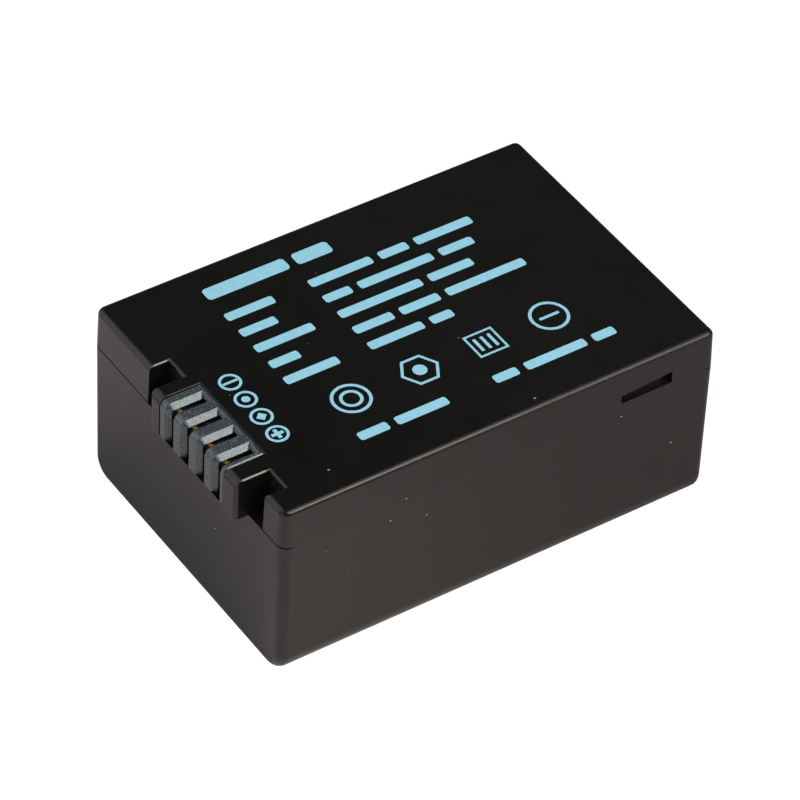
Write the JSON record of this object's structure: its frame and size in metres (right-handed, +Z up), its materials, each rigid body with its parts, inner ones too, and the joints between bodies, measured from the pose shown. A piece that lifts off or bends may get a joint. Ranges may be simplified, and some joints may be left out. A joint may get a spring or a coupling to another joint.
{
  "type": "camera battery",
  "caption": "Flat rectangular rechargeable battery pack for a camera, with rounded lower edges, a slotted terminal block at one end, guide notches and a latch slot.",
  "frame": {"origin": "on the underside, below the centre of the pack's box", "axes": "+X across the width, +Y along the length away from the terminal end, +Z up through the printed face"},
  "size_m": [0.035, 0.0524, 0.0219],
  "materials": {
    "case_plastic": "black moulded plastic with a fine spark-eroded grain",
    "terminal_plastic": "grey moulded plastic, smooth",
    "contact_gold": "gold-plated spring bronze",
    "cell_sleeve": "shrink sleeve over a steel can",
    "nickel": "rolled nickel strip",
    "insulating_paper": "dense insulating paper",
    "barrier_paper": "calendered card",
    "board_laminate": "glass-fibre laminate with solder mask",
    "chip_moulding": "moulded epoxy",
    "chip_ceramic": "fired ceramic with tinned ends",
    "pad_foam": "closed-cell foam"
  },
  "bodies": {
    "root": {"lower_case": "case_plastic", "upper_case": "case_plastic", "terminal_block": "terminal_plastic", "contact_negative": "contact_gold", "contact_data": "contact_gold", "contact_temperature": "contact_gold", "contact_positive": "contact_gold", "cell_front": "cell_sleeve", "cell_rear": "cell_sleeve", "insulator_ring_front": "insulating_paper", "insulator_ring_rear": "insulating_paper", "series_link": "nickel", "negative_strip": "nickel", "positive_strip": "nickel", "insulator_strip": "insulating_paper", "protection_board": "board_laminate", "protection_chip": "chip_moulding", "power_switch": "chip_moulding", "identity_chip": "chip_moulding", "thermistor": "chip_ceramic", "chip_resistors": "chip_ceramic", "chip_capacitors": "chip_ceramic", "barrier_card": "barrier_paper", "roof_pad": "pad_foam"}
  },
  "joints": []
}
